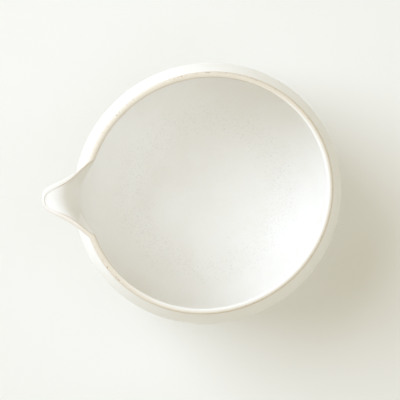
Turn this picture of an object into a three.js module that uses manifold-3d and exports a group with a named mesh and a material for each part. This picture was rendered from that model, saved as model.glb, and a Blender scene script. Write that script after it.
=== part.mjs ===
import * as THREE from "three";
import { mergeVertices, toCreasedNormals } from "three/addons/utils/BufferGeometryUtils.js";
import Module from "manifold-3d";

// A spouted pouring bowl of fired stoneware, as a potter builds it: a thrown bowl with a notch cut in its rim,
// a pulled spout luted over the notch, and a foot ring luted under the floor.
// Sizes are in millimetres. +Z is up, the bowl stands on Z = 0 and the spout points along -X.

// Thrown bowl
const bellyRadius = 66;
const bellyHeight = 41;
const rimRadius = 58.4;
const rimHeight = 75;
const wallThickness = 3.2;
const lipThickness = 2.5;
const lipCrown = 1.1;
const floorThickness = 4;
const baseRadius = 30;
const undersideSag = 2; // how far the round underside would go on below the flat base

// Hand-thrown ovality: the wall is round at the base and drawn out of round towards the rim
const rimOvality = 0.0266;
const ovalHeading = THREE.MathUtils.degToRad(23);

// Foot ring
const footHeight = 5;
const footSetIn = 0.8; // how far the ring's outer face stands inside the edge of the flat base
const footWidth = 4.6;
const footTaper = 1.2;
const footEdge = 0.6;

// Spout: reach is measured from the bowl's axis, and half widths from the spout's own centre line.
// The lip's plan leaves the root aiming at the neck, and turns round the nose to the tip.
const spoutReach = 79;
const spoutRootReach = 55.8;
const spoutRootHalfWidth = 19.6;
const spoutNeckReach = 67.1;
const spoutNeckHalfWidth = 5.9;
const spoutNoseHalfWidth = 9.2;
const spoutRootLean = -1; // the wings' outside stands this far to one side at the root
const spoutTipLean = 0.3;
const spoutRootDepth = 23; // from the rim down to where the keel meets the wall
const spoutTipDrop = 1.8; // the lip runs down a little towards the tip
const noseThickness = 1.6;
const keelCurve = 1.9;
const spoutLipRound = 0.7;

// The channel's edge is the inside of the spout's lip
const channelRootReach = 53.5;
const channelRootHalfWidth = 19.4;
const channelNeckHalfWidth = 4;
const channelNoseHalfWidth = 5.8;
const channelLean = -0.3;
const spoutTipWall = 1.2;
const channelDepth = 18.5; // from the rim down to the bottom of the notch
const channelTipDepth = 0.4;
const channelOverlap = 0.4; // the channel's sides go on past the lip, so that they cut it cleanly
const channelCurve = 2.2; // the channel climbs out of the bowl, then runs level to the tip

// Channel and keel are a V where they leave the wall and a U at the tip
const rootRoundness = 0.22;
const tipRoundness = 1.2;
const roundingStart = 60;

const lutingGap = 0.3; // the slip joint between spout and wall

// Fineness of the faces
const roundSteps = 80;
const profileSteps = 10;
const lipSteps = 3;
const spoutStations = 14;
const sectionSteps = 7;
const creaseAngle = THREE.MathUtils.degToRad(35); // sharper edges than this are shaded as edges

const wasm = await Module();
wasm.setup();

// A closed geometry as a solid that can be cut.
function solidOf(geometry) {
  const bare = geometry.clone();
  bare.deleteAttribute("normal");
  bare.deleteAttribute("uv");
  const merged = mergeVertices(bare, 1e-4);
  return new wasm.Manifold(
    new wasm.Mesh({
      numProp: 3,
      vertProperties: merged.attributes.position.array,
      triVerts: new Uint32Array(merged.index.array),
    }),
  );
}

function geometryOf(solid) {
  const mesh = solid.getMesh();
  const geometry = new THREE.BufferGeometry();
  geometry.setAttribute("position", new THREE.BufferAttribute(mesh.vertProperties, 3));
  geometry.setIndex(new THREE.BufferAttribute(mesh.triVerts, 1));
  return toCreasedNormals(geometry, creaseAngle);
}

function curvePoints(curve, steps) {
  return curve.getPoints(steps);
}

// The wall above the belly: it leaves (fromRadius, fromHeight) straight up and leans in to (toRadius, toHeight).
function leaningWall(fromRadius, fromHeight, toRadius, toHeight) {
  return new THREE.QuadraticBezierCurve(
    new THREE.Vector2(fromRadius, fromHeight),
    new THREE.Vector2(fromRadius, (fromHeight + toHeight) / 2),
    new THREE.Vector2(toRadius, toHeight),
  );
}

// The round underside: a quarter ellipse that stops at the edge of the flat base.
function undersideArc(grow) {
  const depth = bellyHeight - footHeight + undersideSag;
  const baseAngle = Math.asin((bellyHeight - footHeight) / depth);
  const width = (bellyRadius - baseRadius) / (1 - Math.cos(baseAngle));
  return new THREE.EllipseCurve(
    bellyRadius - width,
    bellyHeight,
    width + grow,
    depth + grow,
    -baseAngle,
    0,
  );
}

// A revolved profile, drawn out of round by a share that grows from the base to the rim.
function thrown(profile) {
  const geometry = new THREE.LatheGeometry(profile, roundSteps);
  geometry.rotateX(Math.PI / 2);
  const position = geometry.attributes.position;
  for (let i = 0; i < position.count; i++) {
    const height = position.getZ(i);
    const share = (rimOvality * (height - footHeight)) / (rimHeight - footHeight);
    const heading = Math.atan2(position.getY(i), position.getX(i));
    const stretch = 1 + Math.max(0, share) * Math.cos(2 * (heading - ovalHeading));
    position.setX(i, position.getX(i) * stretch);
    position.setY(i, position.getY(i) * stretch);
  }
  return solidOf(geometry);
}

const lipStart = rimHeight - lipCrown;
const innerBellyRadius = bellyRadius - wallThickness;
const innerRimRadius = rimRadius - lipThickness;
const floorHeight = footHeight + floorThickness;

function bowlBlank() {
  const innerDepth = bellyHeight - floorHeight;
  const outerWall = leaningWall(bellyRadius, bellyHeight, rimRadius, lipStart);
  const innerWall = leaningWall(innerBellyRadius, bellyHeight, innerRimRadius, lipStart);
  const innerFloor = new THREE.EllipseCurve(
    0,
    bellyHeight,
    innerBellyRadius,
    innerDepth,
    -Math.PI / 2,
    0,
  );
  const lip = new THREE.EllipseCurve(
    rimRadius - lipThickness / 2,
    lipStart,
    lipThickness / 2,
    lipCrown,
    0,
    Math.PI,
  );
  const outline = [
    new THREE.Vector2(0, footHeight),
    ...curvePoints(undersideArc(0), profileSteps),
    ...curvePoints(outerWall, profileSteps).slice(1),
    ...curvePoints(lip, 2 * lipSteps).slice(1),
    ...curvePoints(innerWall, profileSteps).reverse().slice(1),
    ...curvePoints(innerFloor, profileSteps).reverse().slice(1),
  ];
  outline[outline.length - 1].x = 0;
  return thrown(outline);
}

// What the spout is shaped against: the bowl's outside, filled in and grown by the luting gap.
function bowlEnvelope() {
  const outerWall = leaningWall(
    bellyRadius + lutingGap,
    bellyHeight,
    rimRadius + lutingGap,
    rimHeight + lipCrown,
  );
  return thrown([
    new THREE.Vector2(0, footHeight - lutingGap),
    ...curvePoints(undersideArc(lutingGap), profileSteps),
    ...curvePoints(outerWall, profileSteps).slice(1),
    new THREE.Vector2(0, rimHeight + lipCrown),
  ]);
}

// Half the spout's lip in plan: reach along x, half width along y, flared at the root and round at the nose.
function lipPlan(root, neck, nose) {
  return new THREE.CubicBezierCurve(
    root,
    neck,
    new THREE.Vector2(nose.x, nose.y),
    new THREE.Vector2(nose.x, 0),
  );
}

// A height that starts at rootHeight, at rootReach or less, and curves to tipHeight at tipReach.
function climb(reach, rootReach, rootHeight, tipReach, tipHeight, power) {
  const left = Math.min(1, Math.max(0, (tipReach - reach) / (tipReach - rootReach)));
  return tipHeight - (tipHeight - rootHeight) * left ** power;
}

function lipHeightAt(reach) {
  const out = Math.max(0, (reach - rimRadius) / (spoutReach - rimRadius));
  return rimHeight - spoutTipDrop * Math.min(1, out) ** 2;
}

function outerLeanAt(reach) {
  const out = (reach - rimRadius) / (spoutReach - rimRadius);
  return THREE.MathUtils.lerp(spoutRootLean, spoutTipLean, Math.max(0, out));
}

// Stations from inside the bowl's wall to the nose: the root goes straight on inwards.
function stationsAlong(plan, inward) {
  const start = plan.getPoint(0);
  const stations = [new THREE.Vector2(start.x - inward, start.y)];
  for (let i = 0; i <= spoutStations; i++) {
    const along = Math.min(0.985, (i / spoutStations) ** 0.9);
    stations.push(plan.getPoint(along));
  }
  return stations;
}

// How far up the side of a trough lies, from 0 at the middle to 1 at the edge.
function troughRise(across, reach) {
  const share = THREE.MathUtils.smoothstep(reach, roundingStart, spoutReach);
  const round = THREE.MathUtils.lerp(rootRoundness, tipRoundness, share);
  return (Math.hypot(across, round) - round) / (Math.hypot(1, round) - round);
}

// One closed cross-section of a trough, from lip to keel to lip and over the top, placed in space.
function troughSection(reach, centre, halfWidth, keel, lip, topPoints) {
  const section = [];
  for (let i = -sectionSteps; i <= sectionSteps; i++) {
    const across = i / sectionSteps;
    section.push([halfWidth * across, keel + (lip - keel) * troughRise(across, reach)]);
  }
  return [...section, ...topPoints].map(([y, z]) => [-reach, y + centre, z]);
}

// A solid through closed, convex cross-sections that all have as many points.
function loft(sections) {
  const size = sections[0].length;
  const corners = sections.flat(2);
  const faces = [];
  for (let s = 0; s + 1 < sections.length; s++)
    for (let i = 0; i < size; i++) {
      const a = s * size + i;
      const b = s * size + ((i + 1) % size);
      faces.push(a, a + size, b, b, a + size, b + size);
    }
  const last = (sections.length - 1) * size;
  for (let i = 1; i + 1 < size; i++) {
    faces.push(0, i, i + 1);
    faces.push(last, last + i + 1, last + i);
  }
  const geometry = new THREE.BufferGeometry();
  geometry.setAttribute("position", new THREE.Float32BufferAttribute(corners, 3));
  geometry.setIndex(faces);
  return solidOf(geometry);
}

// The channel that the water runs in, open upwards. It also cuts the notch through the wall.
const channelReach = spoutReach - spoutTipWall;
function channelVoid() {
  const clearAbove = rimHeight + 3 * lipCrown;
  const plan = lipPlan(
    new THREE.Vector2(channelRootReach, channelRootHalfWidth),
    new THREE.Vector2(spoutNeckReach, channelNeckHalfWidth),
    new THREE.Vector2(channelReach, channelNoseHalfWidth),
  );
  return loft(
    stationsAlong(plan, 7).map(({ x: reach, y: halfWidth }) => {
      const floor = climb(
        reach,
        innerBellyRadius - 1,
        rimHeight - channelDepth,
        channelReach,
        lipHeightAt(channelReach) - channelTipDepth,
        channelCurve,
      );
      const top = [
        [halfWidth, clearAbove],
        [-halfWidth, clearAbove],
      ];
      const edge = lipHeightAt(reach) + channelOverlap;
      return troughSection(reach, channelLean, halfWidth, floor, edge, top);
    }),
  );
}

function spoutBlank() {
  const plan = lipPlan(
    new THREE.Vector2(spoutRootReach, spoutRootHalfWidth),
    new THREE.Vector2(spoutNeckReach, spoutNeckHalfWidth),
    new THREE.Vector2(spoutReach, spoutNoseHalfWidth),
  );
  return loft(
    stationsAlong(plan, 7).map(({ x: reach, y: halfWidth }) => {
      const lip = lipHeightAt(reach);
      const keel = climb(
        reach,
        bellyRadius - 1,
        rimHeight - spoutRootDepth,
        spoutReach,
        lipHeightAt(spoutReach) - noseThickness,
        keelCurve,
      );
      const round = Math.min(spoutLipRound, halfWidth / 2);
      const top = [
        [halfWidth - 0.3 * round, lip - 0.3 * round],
        [halfWidth - round, lip],
        [round - halfWidth, lip],
        [0.3 * round - halfWidth, lip - 0.3 * round],
      ];
      return troughSection(reach, outerLeanAt(reach), halfWidth, keel, lip - round, top);
    }),
  );
}

// The foot ring's section: two tapered faces, a flat top that is luted to the base and a flat that it stands on.
function footRing() {
  const outer = baseRadius - footSetIn;
  const inner = outer - footWidth;
  const slope = footTaper * (1 - footEdge / footHeight);
  return thrown([
    new THREE.Vector2(inner, footHeight),
    new THREE.Vector2(inner + slope / 2, footEdge),
    new THREE.Vector2(inner + footTaper / 2 + footEdge, 0),
    new THREE.Vector2(outer - footTaper - footEdge, 0),
    new THREE.Vector2(outer - slope, footEdge),
    new THREE.Vector2(outer, footHeight),
    new THREE.Vector2(inner, footHeight),
  ]);
}

const glazedClay = new THREE.MeshStandardMaterial({ color: "#efece1", roughness: 0.42, metalness: 0 });
const bareClay = new THREE.MeshStandardMaterial({ color: "#e0d2bd", roughness: 0.85, metalness: 0 });

function piece(name, solid, material) {
  const mesh = new THREE.Mesh(geometryOf(solid), material);
  mesh.name = name;
  return mesh;
}

const channel = channelVoid();
const bowl = new THREE.Group();
bowl.add(piece("bowl_body", bowlBlank().subtract(channel), glazedClay));
bowl.add(piece("spout", spoutBlank().subtract(channel).subtract(bowlEnvelope()), glazedClay));
bowl.add(piece("foot_ring", footRing(), bareClay));

// The origin is the middle of the object's footprint box, on the surface that it stands on.
const footprint = new THREE.Box3().setFromObject(bowl, true);
bowl.position.x = -(footprint.min.x + footprint.max.x) / 2;
bowl.position.y = -(footprint.min.y + footprint.max.y) / 2;

export default bowl;
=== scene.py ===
import math

import bpy
import numpy as np
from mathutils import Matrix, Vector


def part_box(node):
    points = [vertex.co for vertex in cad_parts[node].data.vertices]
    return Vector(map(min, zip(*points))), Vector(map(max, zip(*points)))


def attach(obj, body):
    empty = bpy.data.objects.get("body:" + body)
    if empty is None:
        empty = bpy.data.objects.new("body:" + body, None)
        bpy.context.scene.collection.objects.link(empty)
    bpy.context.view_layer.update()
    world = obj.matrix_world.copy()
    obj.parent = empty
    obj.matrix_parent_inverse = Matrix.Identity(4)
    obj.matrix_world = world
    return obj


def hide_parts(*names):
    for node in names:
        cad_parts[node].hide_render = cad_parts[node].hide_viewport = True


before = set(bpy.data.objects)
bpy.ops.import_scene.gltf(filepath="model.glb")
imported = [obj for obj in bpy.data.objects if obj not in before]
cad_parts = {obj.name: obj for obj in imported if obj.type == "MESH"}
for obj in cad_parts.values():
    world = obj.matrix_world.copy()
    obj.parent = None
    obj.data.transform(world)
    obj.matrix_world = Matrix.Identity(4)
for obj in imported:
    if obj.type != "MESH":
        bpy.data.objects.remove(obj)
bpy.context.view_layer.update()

# A spouted pouring bowl in fired stoneware: satin white glaze, thin and beige over the lip, bare clay foot.
# Metres, +Z up, spout towards -X. The foot ring tells where the bowl's axis stands.

mm = 0.001
footLow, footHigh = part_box("foot_ring")
axisX = (footLow.x + footHigh.x) / 2
axisY = (footLow.y + footHigh.y) / 2
axisPoint = (axisX, axisY, 0.0)


# Small helpers

def smoothStep(low, high, value):
    share = np.clip((value - low) / (high - low), 0.0, 1.0)
    return share * share * (3 - 2 * share)


def lerp(low, high, share):
    return low + (high - low) * share


def softMax(first, second, softness):
    return (first + second + np.sqrt((first - second) ** 2 + softness**2)) / 2


def bezier(points, count):
    share = np.linspace(0, 1, count)[:, None]
    degree = len(points) - 1
    total = 0
    for step, point in enumerate(points):
        total += math.comb(degree, step) * (1 - share) ** (degree - step) * share**step * np.array(point)
    return total


def deselectAll():
    if bpy.context.object and bpy.context.object.mode != "OBJECT":
        bpy.ops.object.mode_set(mode="OBJECT")
    bpy.ops.object.select_all(action="DESELECT")


def pickOnly(piece):
    deselectAll()
    piece.select_set(True)
    bpy.context.view_layer.objects.active = piece


def extrudeRing(radius, height, lastRadius, lastHeight):
    # the selected ring is drawn out to the next radius and height, as on a wheel
    bpy.ops.mesh.extrude_region_move(TRANSFORM_OT_translate={"value": (0, 0, height - lastHeight)})
    size = radius / lastRadius
    bpy.ops.transform.resize(value=(size, size, 1), center_override=axisPoint)


# Camera and light

cameraSetup = {
    "height": 0.640,
    "focalLength": 107.3,
    "sensor": 36.0,
    "offAxis": (-3.9 * mm, -3.2 * mm),
    "roll": math.radians(-2.4),
    "clipStart": 0.01,
}


def placeCamera():
    offX, offY = cameraSetup["offAxis"]
    bpy.ops.object.camera_add(
        location=(axisX + offX, axisY + offY, cameraSetup["height"]),
        rotation=(0, 0, cameraSetup["roll"]),
    )
    camera = bpy.context.object
    camera.name = "camera"
    camera.data.lens = cameraSetup["focalLength"]
    camera.data.sensor_width = cameraSetup["sensor"]
    camera.data.clip_start = cameraSetup["clipStart"]
    bpy.context.scene.camera = camera
    print("camera placed")


# daylight from a window and the sky low behind it, and off a pale wall and the ceiling; headings in degrees
daylight = (0.71, 0.80, 0.985)
lamps = {
    "window": {"heading": 150, "rise": 47, "size": (2.2, 1.8), "power": 57},
    "lowSky": {"heading": 150, "rise": 18, "size": (5.0, 1.6), "power": 66},
    "sideWall": {"heading": -90, "rise": 50, "size": (2.6, 2.0), "power": 10},
    "ceiling": {"heading": -12, "rise": 62, "size": (3.0, 2.6), "power": 33},
}
lampDistance = 3.0
room = {"colour": (1.0, 0.81, 0.33), "strength": 0.36}


def placeLamp(name, setup):
    rise, heading = math.radians(setup["rise"]), math.radians(setup["heading"])
    towards = Vector(
        (math.cos(rise) * math.cos(heading), math.cos(rise) * math.sin(heading), math.sin(rise))
    )
    bpy.ops.object.light_add(type="AREA", location=Vector(axisPoint) + towards * lampDistance)
    lamp = bpy.context.object
    lamp.name = name
    lamp.rotation_euler = towards.to_track_quat("Z", "Y").to_euler()
    lamp.data.shape = "RECTANGLE"
    lamp.data.size, lamp.data.size_y = setup["size"]
    lamp.data.energy = setup["power"]
    lamp.data.color = daylight


def placeLight():
    for name, setup in lamps.items():
        placeLamp(name, setup)
    world = bpy.data.worlds.new("room")
    world.use_nodes = True
    background = world.node_tree.nodes["Background"]
    background.inputs["Color"].default_value = (*room["colour"], 1)
    background.inputs["Strength"].default_value = room["strength"]
    bpy.context.scene.world = world
    bpy.context.scene.view_settings.view_transform = "Standard"
    print("light placed")


# Materials

# where masks are full, as a share: of a band's reach, of a spot's size and of the chance of a spot
fullAt = {"band": 0.3, "spot": 0.35, "chance": 0.6}


class Wire:
    def __init__(self, finish, socket):
        self.finish = finish
        self.socket = socket

    def other(self, name):
        # another output of the same node
        return Wire(self.finish, self.socket.node.outputs[name])

    def maths(self, operation, *others):
        sockets = {0: self, **{place + 1: other for place, other in enumerate(others)}}
        return self.finish.add("ShaderNodeMath", {"operation": operation}, sockets)

    def turned(self, operation, other):
        return self.finish.add("ShaderNodeMath", {"operation": operation}, {0: other, 1: self})

    def __add__(self, other):
        return self.maths("ADD", other)

    def __radd__(self, other):
        return self.turned("ADD", other)

    def __sub__(self, other):
        return self.maths("SUBTRACT", other)

    def __rsub__(self, other):
        return self.turned("SUBTRACT", other)

    def __mul__(self, other):
        return self.maths("MULTIPLY", other)

    def __rmul__(self, other):
        return self.turned("MULTIPLY", other)

    def around(self, middle, reach):
        # 1 near the middle and 0 from reach on
        return (self - middle).maths("ABSOLUTE").between(reach, reach * fullAt["band"])

    def between(self, low, high):
        # 0 at low and 1 at high, eased at both ends
        sockets = {"Value": self, "From Min": low, "From Max": high}
        return self.finish.add("ShaderNodeMapRange", {"interpolation_type": "SMOOTHSTEP"}, sockets)


class Finish:
    def __init__(self, name):
        self.material = bpy.data.materials.new(name)
        self.material.use_nodes = True
        self.tree = self.material.node_tree
        self.tree.nodes.clear()
        self.place = self.add("ShaderNodeTexCoord", output="Object")

    def add(self, kind, settings=None, sockets=None, output=0):
        node = self.tree.nodes.new(kind)
        for name, value in (settings or {}).items():
            setattr(node, name, value)
        for name, value in (sockets or {}).items():
            if isinstance(value, Wire):
                self.tree.links.new(value.socket, node.inputs[name])
            else:
                node.inputs[name].default_value = value
        return Wire(self, node.outputs[output]) if node.outputs else None

    def along(self, axis):
        return self.add("ShaderNodeSeparateXYZ", None, {0: self.place}, output=axis)

    def fromAxis(self):
        toAxis = self.add("ShaderNodeVectorMath", {"operation": "SUBTRACT"}, {0: self.place, 1: axisPoint})
        flat = self.add("ShaderNodeVectorMath", {"operation": "MULTIPLY"}, {0: toAxis, 1: (1, 1, 0)})
        return self.add("ShaderNodeVectorMath", {"operation": "LENGTH"}, {0: flat}, output="Value")

    def attribute(self, name):
        return self.add("ShaderNodeAttribute", {"attribute_name": name}, None, output="Fac")

    def noise(self, size, detail, roughness, seed):
        # size is the rough width of one patch, in metres
        grain = {"Scale": 1 / size, "Detail": detail, "Roughness": roughness}
        sockets = {"Vector": self.place, "W": seed, **grain}
        return self.add("ShaderNodeTexNoise", {"noise_dimensions": "4D"}, sockets, output="Fac")

    def specks(self, spacing, size, share, seed):
        # round spots, soft at the rim, in a share of the cells of a random grid
        moved = self.add("ShaderNodeVectorMath", {"operation": "ADD"}, {0: self.place, 1: (seed,) * 3})
        sockets = {"Vector": moved, "Scale": 1 / spacing}
        cells = self.add("ShaderNodeTexVoronoi", None, sockets, output="Distance")
        chance = self.add("ShaderNodeSeparateColor", None, {"Color": cells.other("Color")})
        reach = size / spacing
        spots = cells.between(reach, reach * fullAt["spot"])
        return spots * chance.between(1 - share, 1 - share * fullAt["chance"])

    def mixed(self, share, first, second):
        # sockets 6 and 7 of a Mix node are its two colours
        sockets = {0: share}
        for place, colour in ((6, first), (7, second)):
            sockets[place] = colour if isinstance(colour, Wire) else (*colour, 1)
        return self.add("ShaderNodeMix", {"data_type": "RGBA"}, sockets, output=2)

    def surface(self, colour, roughness, shine, relief, depth):
        bump = self.add("ShaderNodeBump", None, {"Height": relief, "Distance": depth})
        sockets = {"Base Color": colour, "Roughness": roughness, "Specular IOR Level": shine, "Normal": bump}
        return self.close(self.add("ShaderNodeBsdfPrincipled", None, sockets))

    def close(self, shader):
        self.add("ShaderNodeOutputMaterial", None, {"Surface": shader})
        return self.material


def weighed(shares, parts):
    # the parts added up, each times its share
    return sum(parts[name] * share for name, share in shares.items())


glazeLook = {
    "white": (0.965, 0.955, 0.92),
    "thinWhite": (0.95, 0.935, 0.89),
    "speck": (0.20, 0.12, 0.07),
    "pitShade": (0.48, 0.48, 0.45),
    "shine": 0.5,
    "reliefDepth": 0.07 * mm,
    # grain: the rough width of one patch, its detail, its roughness and a seed
    "mottle": (14 * mm, 3, 0.55, 0.0),
    "cloud": (0.9 * mm, 2, 0.6, 11.0),
    "pits": (0.8 * mm, 2, 0.6, 14.0),
    "peel": (1.5 * mm, 2, 0.5, 4.0),
    "grain": (0.5 * mm, 2, 0.6, 6.0),
    "grit": (1.1 * mm, 4, 0.7, 2.0),
    # spots: their spacing, their size, the share of them that shows and a seed
    "smallSpecks": (3.4 * mm, 0.28 * mm, 0.2, 0.0),
    "largeSpecks": (17 * mm, 0.6 * mm, 0.25, 5.3),
    "pinholes": (2.6 * mm, 0.16 * mm, 0.12, 9.1),
    "specksShow": {"smallSpecks": 0.45, "largeSpecks": 0.5},
    # how much of the cloud is in the mottle, and the values of the mottle and of the pits' grain that show
    "cloudShare": 0.5,
    "mottleFrom": (0.35, 0.68),
    "pitsFrom": (0.53, 0.68),
    # the pits, painted grey as the shade in them, are most at the floor's corner: its distance from the
    # bowl's axis, and how far they reach
    "pitsAt": (39.5 * mm, 12 * mm),
    "pitsElsewhere": 0.2,
    "pitsShow": 0.2,
    # the line where the glaze was wiped off, from all glaze down to all clay, and how far it wavers
    "wipedLine": (7.0 * mm, 6.6 * mm),
    "wavering": (9 * mm, 2, 0.5, 8.0),
    "waver": 1.6 * mm,
    "relief": {"peel": 0.6, "grain": 0.12, "pinholes": -0.8, "pits": -0.5, "bareGrain": 0.8},
    "roughness": {"everywhere": 0.42, "mottle": 0.12, "thinned": 0.12, "bare": 0.4},
}

# The glaze over the lip: across it, 0 is the crown, 1 the outer edge and -1 the inner one
lipLook = {
    "pale": (0.925, 0.905, 0.855),
    "cream": (0.87, 0.81, 0.71),
    "beige": (0.82, 0.745, 0.62),
    "tan": (0.71, 0.63, 0.52),
    # the brown of the lines along the lip's edges, partly glaze break and partly painted shade
    "brown": (0.60, 0.365, 0.205),
    "fleck": (0.42, 0.28, 0.19),
    "thins": (-0.65, 0.7),
    "thickens": (1.65, 1.35),
    "tanAcross": (-0.4, 0.9),
    "flecksAcross": (0.62, 0.5),
    "breaks": (2.2 * mm, 3, 0.6, 3.0),
    "clumps": (7 * mm, 2, 0.5, 7.0),
    "flecks": (0.8 * mm, 1, 0.5, 21.0),
    # the values of each grain that show
    "creamFrom": (0.35, 0.8),
    "clumpsFrom": (0.42, 0.58),
    "flecksFrom": (0.57, 0.64),
    # how far the breaks move it across, and how far in it starts on the thin side
    "waver": 0.3,
    "thinsSooner": 0.8,
    # its zones: by Y less X round to the thin side, which is also the side the light comes from, by X along
    # the spout and by Y across it
    "thinLitSide": (-45 * mm, 25 * mm),
    "spout": (-49 * mm, -62 * mm),
    "tip": (-62 * mm, -70 * mm),
    "farSide": (-3 * mm, 5 * mm),
    # how much of each colour shows, more or less of it in each zone
    "creamShows": 0.6,
    "tanShows": 0.35,
    "paleShows": {"spout": 0.5, "spoutFarSide": 0.4, "tip": 0.3},
    "flecksShow": {"everywhere": 0.3, "thinLitSide": 0.5},
}
# The brown lines along the lip's edges are partly the glaze breaking and partly painted shade: the inner line
# shows only on the lit -X +Y side, where the inner edge faces away from the light, and the outer line is
# weaker there and on the spout's lit +Y side
lipEdgeLinesAndShade = {
    "inner": {"across": (-0.9, 0.19), "waver": 0.3, "shows": {"thinLitSide": 0.7, "tip": -0.8}},
    "outer": {
        "across": (0.84, 0.22),
        "waver": 0.5,
        "shows": {"everywhere": 0.4, "thinLitSide": -0.12, "spout": 0.2, "spoutFarSide": -0.4, "tip": -0.25},
    },
}

clayLook = {
    "clay": (0.56, 0.45, 0.33),
    "paleGrit": (0.66, 0.56, 0.43),
    "toasted": (0.50, 0.38, 0.27),
    "roughness": {"everywhere": 0.82, "grit": 0.15},
    "shine": 0.25,
    "reliefDepth": 0.12 * mm,
    "grit": (0.9 * mm, 4, 0.7, 0.0),
    "gritFrom": (0.3, 0.75),
    "patches": (12 * mm, 2, 0.5, 3.0),
    "patchesFrom": (0.5, 0.8),
    "patchesShow": 0.4,
    "specks": (2.4 * mm, 0.25 * mm, 0.3, 0.0),
    "specksShow": 0.7,
}


def lipZones(glaze):
    spout = glaze.along(0).between(*lipLook["spout"])
    return {
        "everywhere": 1,
        "thinLitSide": (glaze.along(1) - glaze.along(0)).between(*lipLook["thinLitSide"]),
        "spout": spout,
        "spoutFarSide": spout * glaze.along(1).between(*lipLook["farSide"]),
        "tip": glaze.along(0).between(*lipLook["tip"]),
    }


def thinOverLip(glaze, colour):
    # the glaze ran thinnest on the lip's -X +Y side, and stayed thicker on the pulled spout, most at its tip
    edge, zones = glaze.attribute("edge"), lipZones(glaze)
    breaks = glaze.noise(*lipLook["breaks"])
    waver = (breaks - 0.5) * lipLook["waver"]
    thinned = (edge + zones["thinLitSide"] * lipLook["thinsSooner"] + waver).between(*lipLook["thins"])
    thinned = thinned * (edge + waver).between(*lipLook["thickens"])
    cream = breaks.between(*lipLook["creamFrom"]) * lipLook["creamShows"]
    tan = edge.between(*lipLook["tanAcross"]) * zones["thinLitSide"] * lipLook["tanShows"]
    beige = glaze.mixed(cream, lipLook["beige"], lipLook["cream"])
    beige = glaze.mixed(tan, beige, lipLook["tan"])
    beige = glaze.mixed(weighed(lipLook["paleShows"], zones), beige, lipLook["pale"])
    colour = glaze.mixed(thinned, colour, beige)

    # a brown line along each of the lip's edges, partly the glaze breaking there and partly painted shade,
    # and flecks in clumps between them
    for look in lipEdgeLinesAndShade.values():
        line = (edge + waver * look["waver"]).around(*look["across"]) * weighed(look["shows"], zones)
        colour = glaze.mixed(line, colour, lipLook["brown"])
    clumps = glaze.noise(*lipLook["clumps"]).between(*lipLook["clumpsFrom"])
    flecks = glaze.noise(*lipLook["flecks"]).between(*lipLook["flecksFrom"])
    flecks = flecks * edge.around(*lipLook["flecksAcross"]) * clumps * (1 - zones["spout"])
    colour = glaze.mixed(flecks * weighed(lipLook["flecksShow"], zones), colour, lipLook["fleck"])
    return thinned, colour


def wipedFoot(glaze, colour):
    # bare clay below the wavering line
    height = glaze.along(2) + (glaze.noise(*glazeLook["wavering"]) - 0.5) * glazeLook["waver"]
    bare = height.between(*glazeLook["wipedLine"])
    clay = glaze.mixed(glaze.noise(*glazeLook["grit"]), clayLook["clay"], clayLook["paleGrit"])
    return bare, glaze.mixed(bare, colour, clay)


def makeGlaze():
    glaze = Finish("satin_white_glaze")
    mottle = glaze.noise(*glazeLook["mottle"])
    mottle = mottle + (glaze.noise(*glazeLook["cloud"]) - 0.5) * glazeLook["cloudShare"]
    colour = glaze.mixed(mottle.between(*glazeLook["mottleFrom"]), glazeLook["white"], glazeLook["thinWhite"])
    thinned, colour = thinOverLip(glaze, colour)
    for name, shows in glazeLook["specksShow"].items():
        colour = glaze.mixed(glaze.specks(*glazeLook[name]) * shows, colour, glazeLook["speck"])
    # the pits are sunk in the relief and also painted grey, painted shade in them, most at the floor's corner
    corner = glaze.fromAxis().around(*glazeLook["pitsAt"])
    pits = glaze.noise(*glazeLook["pits"]).between(*glazeLook["pitsFrom"])
    pits = pits * lerp(glazeLook["pitsElsewhere"], 1, corner)
    colour = glaze.mixed(pits * glazeLook["pitsShow"], colour, glazeLook["pitShade"])
    bare, colour = wipedFoot(glaze, colour)

    grain = glaze.noise(*glazeLook["grain"])
    heights = {
        "peel": glaze.noise(*glazeLook["peel"]),
        "grain": grain,
        "pinholes": glaze.specks(*glazeLook["pinholes"]),
        "pits": pits,
        "bareGrain": bare * grain,
    }
    relief = weighed(glazeLook["relief"], heights)
    rougher = {"everywhere": 1, "mottle": mottle - 0.5, "thinned": thinned, "bare": bare}
    roughness = weighed(glazeLook["roughness"], rougher)
    return glaze.surface(colour, roughness, glazeLook["shine"], relief, glazeLook["reliefDepth"])


def makeBareClay():
    clay = Finish("bare_clay")
    grit = clay.noise(*clayLook["grit"])
    patches = clay.noise(*clayLook["patches"]).between(*clayLook["patchesFrom"])
    specks = clay.specks(*clayLook["specks"])
    colour = clay.mixed(grit.between(*clayLook["gritFrom"]), clayLook["clay"], clayLook["paleGrit"])
    colour = clay.mixed(patches * clayLook["patchesShow"], colour, clayLook["toasted"])
    colour = clay.mixed(specks * clayLook["specksShow"], colour, glazeLook["speck"])
    roughness = weighed(clayLook["roughness"], {"everywhere": 1, "grit": grit - 0.5})
    return clay.surface(colour, roughness, clayLook["shine"], grit, clayLook["reliefDepth"])


# The thrown bowl and its spout, in millimetres until the points are set. A ring goes round the bowl, and a
# column goes up it, over the lip and down inside.

bowlForm = {
    "bellyRadius": 65.9,
    "bellyHeight": 41.0,
    "rimRadius": 58.35,
    "rimHeight": 74.95,
    "wall": 3.2,
    "lip": 2.6,
    "lipCrown": 1.1,
    "crownFlat": 0.65,  # 1 is a round crown, and less is flatter
    "floor": 9.0,
    "cornerRadius": 37.0,
    "cornerWidth": 8.0,
    "cornerDepth": 0.9,
    "footTop": 5.0,
    "baseRadius": 30.0,
    "undersideSag": 2.0,  # how far the underside would go on below the flat base
    "ovality": 0.0266,
    "ovalHeading": math.radians(23),
    "columns": 400,
    "crowding": 0.33,  # 1 spaces the columns evenly, and less crowds them at the spout
    "undersideRings": 18,
    "wallRings": 12,
    "spoutRings": 26,
    "lipRings": 12,
    "floorRings": 36,
}
lipBase = bowlForm["rimHeight"] - bowlForm["lipCrown"]

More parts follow.
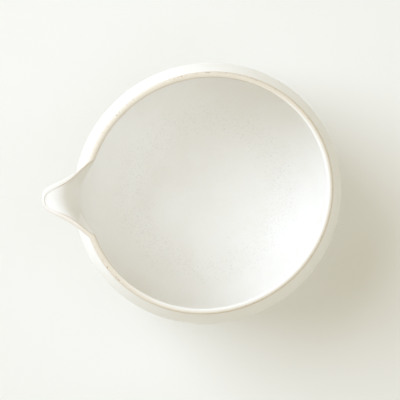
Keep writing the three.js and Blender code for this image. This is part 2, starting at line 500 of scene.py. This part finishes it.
spoutForm = {
    "reach": 78.95,
    "channelReach": 77.8,
    "kink": math.radians(18.6),  # where the lip turns out into the spout, from its middle
    "kinkFades": 0.26,
    "tipDrop": 1.8,
    "channelDepth": 14.5,
    "channelRoot": 62.0,
    "channelCurve": 3.8,
    "channelTip": 0.15,  # how far the channel's middle lies below the lip at the tip
    "keelDepth": 22.0,
    "keelRoot": 65.6,
    "keelCurve": 1.9,
    "noseDepth": 1.5,
    "noseRound": 1.6,
    # a small number is a V and a large one a U, at the root and at the tip
    "channelVee": (0.5, 1.2),
    "keelVee": (0.22, 1.2),
    "veeFrom": 60.0,
    "tipCrown": 0.3,
    "crownFades": 8.0,
    # how far in from the lip the wall is looked for, and how far below the lip these rings end at the least,
    # on the spout and away from it
    "wallWithin": 24.0,
    "ringsEnd": (1.2, 12.0),
    "leastDrop": 0.01,
}
# The lip's two edges. The plan's points are reach from the axis and half width, from the root to the nose.
# The middle leans towards +Y by one measure at the root and another at the tip. setIn is 0 outside and 1
# inside.
outerEdge = {
    "plan": ((55.3, 19.3), (62.9, 12.7), (70.5, 5.0), (spoutForm["reach"], 9.3), (spoutForm["reach"], 0.0)),
    "lean": (-1.1, 0.35),
    "setIn": 0,
    "softness": 0.35,
}
channelEdge = {
    "plan": (
        (53.4, 18.0),
        (61.5, 14.0),
        (66.4, 2.9),
        (spoutForm["channelReach"], 7.1),
        (spoutForm["channelReach"], 0.0),
    ),
    "lean": (-0.5, -0.2),
    "setIn": 1,
    "softness": 0.3,
}
flareCarriedIn = 10.0  # how far the root's flare goes on into the bowl
planSteps, slopeSteps, wallSteps = 200, 480, 30  # fineness of the curves that the rings are spaced along


def columnAngles():
    # measured from the spout, closer together there
    steps = np.arange(bowlForm["columns"]) / bowlForm["columns"] * 2 - 1
    crowding = bowlForm["crowding"]
    return np.pi * steps * (crowding + (1 - crowding) * steps**2)


angles = columnAngles()


def stretchAt(height, bearing):
    # the wall is drawn out of round, more the higher it is
    rise = (height - bowlForm["footTop"]) / (bowlForm["rimHeight"] - bowlForm["footTop"])
    heading = bearing + np.pi - bowlForm["ovalHeading"]
    return 1 + bowlForm["ovality"] * np.clip(rise, 0, 1.1) * np.cos(2 * heading)


def wallRadius(height, setIn, bearing):
    # the wall above the belly
    belly = bowlForm["bellyRadius"] - setIn * bowlForm["wall"]
    rim = bowlForm["rimRadius"] - setIn * bowlForm["lip"]
    up = (height - bowlForm["bellyHeight"]) / (lipBase - bowlForm["bellyHeight"])
    return (belly - (belly - rim) * up**2) * stretchAt(height, bearing)


def outAlong(reach):
    # 0 at the rim and 1 at the spout's tip
    return np.clip((reach - bowlForm["rimRadius"]) / (spoutForm["reach"] - bowlForm["rimRadius"]), 0, 1)


def leanAt(edge, reach):
    return lerp(*edge["lean"], outAlong(reach))


def planCurve(edge):
    # one side of an edge, with its flare carried on into the bowl
    curve = bezier(edge["plan"], planSteps)
    flare = curve[0] - curve[1]
    return np.vstack([curve[0] - flareCarriedIn * flare / flare[0], curve])


def edgeRadius(edge):
    # an edge's radius from the bowl's axis, at each column
    reach, half = planCurve(edge).T
    lean = leanAt(edge, reach)
    near, far = np.arctan2(half - lean, reach), np.arctan2(-half - lean, reach)
    bearing = np.concatenate([far, near[::-1]])
    radius = np.concatenate([np.hypot(half + lean, reach), np.hypot(half - lean, reach)[::-1]])
    return np.interp(angles, bearing, radius)


def acrossAt(edge, radius, bearing):
    # 0 on the middle line and 1 at the edge
    reach, side = radius * np.cos(bearing), -radius * np.sin(bearing)
    curveReach, curveHalf = planCurve(edge).T
    return np.clip(np.abs(side - leanAt(edge, reach)) / np.interp(reach, curveReach, curveHalf), 0, 1)


def veeRise(across, reach, vee):
    # 0 at the middle and 1 at the edges
    share = smoothStep(spoutForm["veeFrom"], spoutForm["reach"], reach)
    softness = lerp(*vee, share)
    return (np.sqrt(across**2 + softness**2) - softness) / (np.sqrt(1 + softness**2) - softness)


def lipHeightAt(reach):
    return lipBase - spoutForm["tipDrop"] * outAlong(reach) ** 2


def climb(reach, root, rootHeight, tip, tipHeight, curve):
    left = np.clip((tip - reach) / (tip - root), 0, 1)
    return tipHeight - (tipHeight - rootHeight) * left**curve


def channelHeight(radius, bearing):
    # the channel's bottom climbs out of the bowl and then follows the lip down to the tip
    reach = radius * np.cos(bearing)
    bottom = climb(
        reach,
        spoutForm["channelRoot"],
        lipBase - spoutForm["channelDepth"],
        spoutForm["channelReach"],
        lipHeightAt(reach) - spoutForm["channelTip"],
        spoutForm["channelCurve"],
    )
    rise = veeRise(acrossAt(channelEdge, radius, bearing), reach, spoutForm["channelVee"])
    return lerp(bottom, lipHeightAt(reach), rise)


def keelHeight(radius, bearing):
    # the spout's underside, with a rounded nose
    reach = radius * np.cos(bearing)
    bottom = climb(
        reach,
        spoutForm["keelRoot"],
        lipBase - spoutForm["keelDepth"],
        spoutForm["reach"],
        lipHeightAt(spoutForm["reach"]),
        spoutForm["keelCurve"],
    )
    rounded = np.clip((radius[0] - radius) / spoutForm["noseRound"], 0, 1)
    nose = spoutForm["noseDepth"] * np.sqrt(1 - (1 - rounded) ** 2) * outAlong(reach)
    rise = veeRise(acrossAt(outerEdge, radius, bearing), reach, spoutForm["keelVee"])
    return lerp(bottom, lipHeightAt(reach), rise) - nose


def lipToWall(bearing, lipRadius, surfaceHeight, setIn):
    # one column, from the lip's edge in to the wall and on down it to where the bowl's own rings start
    radii = np.linspace(lipRadius, lipRadius - spoutForm["wallWithin"], slopeSteps)
    heights = surfaceHeight(radii, bearing)
    heights[0] = lipHeightAt(lipRadius * np.cos(bearing))
    atWall = radii <= wallRadius(heights, setIn, bearing)
    atWall[0] = False
    meets = np.argmax(atWall)
    radii, heights = radii[:meets], heights[:meets]
    kink = spoutForm["kink"]
    pastKink = float(smoothStep(kink, kink + spoutForm["kinkFades"], abs(bearing)))
    lowest = min(heights[-1], lipBase - lerp(*spoutForm["ringsEnd"], pastKink)) - spoutForm["leastDrop"]
    down = np.linspace(heights[-1], lowest, wallSteps)[1:]
    radii = np.concatenate([radii, wallRadius(down, setIn, bearing)])
    heights = np.concatenate([heights, down])
    along = np.concatenate([[0], np.cumsum(np.hypot(np.diff(radii), np.diff(heights)))])
    at = np.linspace(0, along[-1], bowlForm["spoutRings"] + 1)
    return np.interp(at, along, radii), np.interp(at, along, heights)


def spoutSide(edge, surfaceHeight):
    # the lip's radius at every column, and the rings from there to the wall
    setIn = edge["setIn"]
    lipRadius = softMax(edgeRadius(edge), wallRadius(lipBase, setIn, angles), edge["softness"])
    columns = [lipToWall(*column, surfaceHeight, setIn) for column in zip(angles, lipRadius)]
    radii, heights = (np.array([column[part] for column in columns]).T for part in (0, 1))
    return lipRadius, radii, heights


def undersideRings():
    # a quarter ellipse from the belly down to the edge of the flat base
    belly, base, foot = bowlForm["bellyRadius"], bowlForm["baseRadius"], bowlForm["footTop"]
    depth = bowlForm["bellyHeight"] - foot + bowlForm["undersideSag"]
    turn = math.asin((bowlForm["bellyHeight"] - foot) / depth)
    width = (belly - base) / (1 - math.cos(turn))
    rings = []
    for angle in np.linspace(-turn, 0, bowlForm["undersideRings"] + 1):
        height = bowlForm["bellyHeight"] + depth * math.sin(angle)
        radius = belly - width * (1 - math.cos(angle))
        rings.append((radius * stretchAt(height, angles), np.full(len(angles), height)))
    return rings


def wallRings(low, high, setIn):
    heights = [lerp(low, high, share) for share in np.linspace(0, 1, bowlForm["wallRings"] + 1)[1:]]
    return [(wallRadius(height, setIn, angles), height) for height in heights]


def crownRings(outerLip, innerLip, outerHeight, innerHeight):
    # the lip's crown is lower on the spout
    onSpout = np.clip((outerLip - bowlForm["rimRadius"]) / spoutForm["crownFades"], 0, 1)
    crown = lerp(bowlForm["lipCrown"], spoutForm["tipCrown"], onSpout)
    rings = []
    for angle in np.linspace(0, np.pi, bowlForm["lipRings"] + 1)[1:-1]:
        share = (1 - math.cos(angle)) / 2
        rounded = crown * math.sin(angle) ** bowlForm["crownFlat"]
        rings.append((lerp(outerLip, innerLip, share), lerp(outerHeight, innerHeight, share) + rounded))
    return rings


def floorRings():
    # a quarter ellipse that turns up into the wall at a soft corner
    across = bowlForm["bellyRadius"] - bowlForm["wall"]
    down = bowlForm["bellyHeight"] - bowlForm["floor"]
    rings = []
    for angle in np.linspace(0, np.pi / 2, bowlForm["floorRings"] + 1)[1:-1]:
        radius = across * math.cos(angle)
        corner = math.exp(-(((radius - bowlForm["cornerRadius"]) / bowlForm["cornerWidth"]) ** 2))
        height = bowlForm["bellyHeight"] - down * math.sin(angle) - bowlForm["cornerDepth"] * corner
        rings.append((radius * stretchAt(height, angles), np.full(len(angles), height)))
    return rings


def bowlRings():
    # every ring's radius and height at every column, from the base over the lip to the floor's middle
    outerLip, outerRadii, outerHeights = spoutSide(outerEdge, keelHeight)
    innerLip, innerRadii, innerHeights = spoutSide(channelEdge, channelHeight)
    rings = undersideRings()
    rings += wallRings(bowlForm["bellyHeight"], outerHeights[-1], outerEdge["setIn"])[:-1]
    marks = {"outerSeam": len(rings)}
    rings += zip(outerRadii[::-1], outerHeights[::-1])
    marks["lipStart"] = len(rings) - 1
    rings += crownRings(outerLip, innerLip, outerHeights[0], innerHeights[0])
    marks["lipEnd"] = len(rings)
    rings += zip(innerRadii, innerHeights)
    marks["innerSeam"] = len(rings) - 1
    rings += wallRings(innerHeights[-1], bowlForm["bellyHeight"], channelEdge["setIn"])
    rings += floorRings()
    radii, heights = (np.array([ring[part] for ring in rings]) for part in (0, 1))
    return radii, heights, marks


# how many rings on each side of a seam are smoothed, how often, and how far towards the kinks
easing = {
    "innerSeam": {"rings": 7, "rounds": 14, "full": 0.15, "none": 1.0},
    "outerSeam": {"rings": 9, "rounds": 26, "full": 0.5, "none": 1.05},
}


def easeSeams(radii, heights, marks):
    # the clay is smoothed over where the spout meets the wall, most at the middle of the channel: each round
    # moves a point at most half way to the middle of its neighbours
    kink = spoutForm["kink"]
    for name, ease in easing.items():
        seam = marks[name]
        band = np.arange(seam - ease["rings"], seam + ease["rings"] + 1)
        strength = 1 - smoothStep(0.0, ease["rings"] + 0.5, np.abs(band - seam))
        near = 1 - smoothStep(kink * ease["full"], kink * ease["none"], np.abs(angles))
        share = strength[:, None] * near[None, :] * 0.5
        for _ in range(ease["rounds"]):
            for values in (radii, heights):
                middle = (values[band - 1] + values[band + 1]) / 2
                values[band] = lerp(values[band], middle, share)


farFromLip = 4  # past this the glaze has nothing more of the lip in it


def drawUpBowl(radii, heights):
    # a round bowl from the rings of one column, drawn up one after another and closed at the floor's middle
    foot = (axisX, axisY, heights[0])
    bpy.ops.mesh.primitive_circle_add(
        vertices=bowlForm["columns"], radius=radii[0], fill_type="NOTHING", location=foot
    )
    bowl = bpy.context.object
    bowl.name = "thrown_bowl"
    bpy.ops.object.transform_apply(location=True, rotation=True, scale=True)
    bpy.ops.object.mode_set(mode="EDIT")
    bpy.ops.mesh.select_all(action="SELECT")
    for ring in range(1, len(radii)):
        extrudeRing(radii[ring], heights[ring], radii[ring - 1], heights[ring - 1])
    bpy.ops.mesh.extrude_region_move()
    bpy.ops.mesh.merge(type="CENTER")
    bpy.ops.object.mode_set(mode="OBJECT")
    return bowl


def pullToShape(bowl, radii, heights):
    # the points come ring by ring, a bearing tells the column, and the last point is the floor's middle
    rings, count = radii.shape
    points = np.zeros(len(bowl.data.vertices) * 3)
    bowl.data.vertices.foreach_get("co", points)
    points = points.reshape(-1, 3)
    onRings = slice(0, rings * count)
    ringOf = np.repeat(np.arange(rings), count)
    turn = np.arctan2(axisY - points[onRings, 1], axisX - points[onRings, 0]) / (2 * np.pi)
    columnOf = (np.round(turn * count).astype(int) + count // 2) % count
    radius, bearing = radii[ringOf, columnOf] * mm, angles[columnOf]
    points[onRings, 0] = axisX - radius * np.cos(bearing)
    points[onRings, 1] = axisY - radius * np.sin(bearing)
    points[onRings, 2] = heights[ringOf, columnOf] * mm
    points[onRings.stop :] = (axisX, axisY, bowlForm["floor"] * mm)
    bowl.data.vertices.foreach_set("co", points.ravel())
    return ringOf, columnOf


def fromCrown(radii, heights, marks):
    # how far each point lies from the lip's crown along the clay, in half lip widths, and less than 0 inside
    steps = np.hypot(np.diff(radii, axis=0), np.diff(heights, axis=0))
    along = np.vstack([np.zeros(radii.shape[1]), np.cumsum(steps, axis=0)])
    start, end = along[marks["lipStart"]], along[marks["lipEnd"]]
    return np.clip((start + end - 2 * along) / (end - start), -farFromLip, farFromLip)


def throwBowl():
    radii, heights, marks = bowlRings()
    easeSeams(radii, heights, marks)
    bowl = drawUpBowl(radii[:, 0] * mm, heights[:, 0] * mm)
    ringOf, columnOf = pullToShape(bowl, radii, heights)
    edge = fromCrown(radii, heights, marks)[ringOf, columnOf]
    for name, values in {"ring": ringOf, "bearing": angles[columnOf], "edge": edge}.items():
        onAll = np.full(len(bowl.data.vertices), values[-1], np.float32)
        onAll[: len(values)] = values
        bowl.data.attributes.new(name, "FLOAT", "POINT").data.foreach_set("value", onAll)
    bowl.data.update()
    print("bowl thrown:", len(radii), "rings of", len(angles), "points")
    return bowl, marks


def readMarks(piece):
    ring, bearing = (np.zeros(len(piece.data.vertices), np.float32) for _ in range(2))
    piece.data.attributes["ring"].data.foreach_get("value", ring)
    piece.data.attributes["bearing"].data.foreach_get("value", bearing)
    return ring, bearing


def selectNothing(piece, kind):
    pickOnly(piece)
    bpy.ops.object.mode_set(mode="EDIT")
    bpy.ops.mesh.select_mode(type=kind)
    bpy.ops.mesh.select_all(action="DESELECT")
    bpy.ops.object.mode_set(mode="OBJECT")


def cutSpout(bowl, marks):
    # the spout is a piece of its own, from the kinks in the lip to the seams in and outside
    ring, bearing = readMarks(bowl)
    selectNothing(bowl, "FACE")
    for face in bowl.data.polygons:
        corners = list(face.vertices)
        inRings = marks["outerSeam"] <= min(ring[corners]) and max(ring[corners]) <= marks["innerSeam"]
        face.select = bool(inRings and max(abs(bearing[corners])) < spoutForm["kink"])
    bpy.ops.object.mode_set(mode="EDIT")
    bpy.ops.mesh.separate(type="SELECTED")
    bpy.ops.object.mode_set(mode="OBJECT")
    spout = next(piece for piece in bpy.context.selected_objects if piece is not bowl)
    spout.name = "pulled_spout"
    print("spout cut free")
    return spout


def closeLutedFace(piece, marks):
    # the hidden face where spout and wall are luted together, from the outer seam to the inner one
    ring, _ = readMarks(piece)
    uses = {}
    for face in piece.data.polygons:
        for key in face.edge_keys:
            uses[key] = uses.get(key, 0) + 1
    selectNothing(piece, "EDGE")
    for line in piece.data.edges:
        a, b = line.vertices
        onSeam = ring[a] == ring[b] and ring[a] in (marks["outerSeam"], marks["innerSeam"])
        line.select = bool(onSeam and uses.get(line.key, 0) == 1)
    bpy.ops.object.mode_set(mode="EDIT")
    bpy.ops.mesh.bridge_edge_loops()
    bpy.ops.mesh.select_all(action="SELECT")
    bpy.ops.mesh.fill_holes(sides=0)
    bpy.ops.mesh.select_all(action="SELECT")
    bpy.ops.mesh.normals_make_consistent(inside=False)
    bpy.ops.object.mode_set(mode="OBJECT")


sharpestRound = math.radians(50)


def finishPiece(piece, material, node):
    piece.data.materials.append(material)
    pickOnly(piece)
    bpy.ops.object.shade_smooth_by_angle(angle=sharpestRound)
    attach(piece, "root")
    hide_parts(node)


# Foot ring

footForm = {
    "outer": 29.2,
    "width": 4.6,
    "taper": 1.2,
    "round": 0.7,
    "top": 5.0,
    "columns": 240,
    "roundSteps": 5,
}


def footOutline():
    top, low = footForm["top"], footForm["round"]
    outer, inner = footForm["outer"], footForm["outer"] - footForm["width"]
    outerFoot, innerFoot = outer - footForm["taper"], inner + footForm["taper"] / 2
    turns = np.linspace(0, np.pi / 2, footForm["roundSteps"] + 1)
    return [
        (inner, top),
        (lerp(inner, innerFoot, 0.5), top / 2),
        *((innerFoot + low * (1 - math.cos(turn)), low * (1 - math.sin(turn))) for turn in turns),
        *((outerFoot - low * (1 - math.sin(turn)), low * (1 - math.cos(turn))) for turn in turns),
        (lerp(outer, outerFoot, 0.5), top / 2),
        (outer, top),
    ]


def turnFoot():
    outline = [(radius * mm, height * mm) for radius, height in footOutline()]
    radius, height = outline[0]
    bpy.ops.mesh.primitive_circle_add(
        vertices=footForm["columns"], radius=radius, fill_type="NOTHING", location=(axisX, axisY, height)
    )
    foot = bpy.context.object
    foot.name = "foot_ring_turned"
    bpy.ops.object.transform_apply(location=True, rotation=True, scale=True)
    bpy.ops.object.mode_set(mode="EDIT")
    bpy.ops.mesh.select_all(action="SELECT")
    for last, point in zip(outline, outline[1:]):
        extrudeRing(*point, *last)
    bpy.ops.mesh.select_all(action="DESELECT")
    bpy.ops.mesh.select_non_manifold()
    bpy.ops.mesh.bridge_edge_loops()
    bpy.ops.mesh.select_all(action="SELECT")
    bpy.ops.mesh.normals_make_consistent(inside=False)
    bpy.ops.object.mode_set(mode="OBJECT")
    print("foot turned")
    return foot


# The table that it stands on

tableLook = {"colour": (0.893, 0.885, 0.842), "radius": 2.0, "opening": 20 * mm, "columns": 96}


def layTable():
    # open under the foot's recess, so that light gets to the base there
    bpy.ops.mesh.primitive_circle_add(
        vertices=tableLook["columns"], radius=tableLook["opening"], fill_type="NOTHING", location=axisPoint
    )
    table = bpy.context.object
    table.name = "table"
    bpy.ops.object.transform_apply(location=True, rotation=True, scale=True)
    bpy.ops.object.mode_set(mode="EDIT")
    bpy.ops.mesh.select_all(action="SELECT")
    extrudeRing(tableLook["radius"], 0, tableLook["opening"], 0)
    bpy.ops.object.mode_set(mode="OBJECT")
    look = Finish("table_top")
    # clear from below, so that the foot can be seen
    below = look.add("ShaderNodeNewGeometry", output="Backfacing")
    top = look.add("ShaderNodeBsdfDiffuse", None, {"Color": (*tableLook["colour"], 1)})
    clear = look.add("ShaderNodeBsdfTransparent")
    seen = look.add("ShaderNodeMixShader", None, {0: below, 1: top, 2: clear})
    table.data.materials.append(look.close(seen))
    print("table laid")


deselectAll()
placeCamera()
placeLight()
layTable()
glazeMaterial = makeGlaze()
clayMaterial = makeBareClay()
bowlPiece, seamMarks = throwBowl()
spoutPiece = cutSpout(bowlPiece, seamMarks)
closeLutedFace(bowlPiece, seamMarks)
closeLutedFace(spoutPiece, seamMarks)
footPiece = turnFoot()
finishPiece(bowlPiece, glazeMaterial, "bowl_body")
finishPiece(spoutPiece, glazeMaterial, "spout")
finishPiece(footPiece, clayMaterial, "foot_ring")
deselectAll()
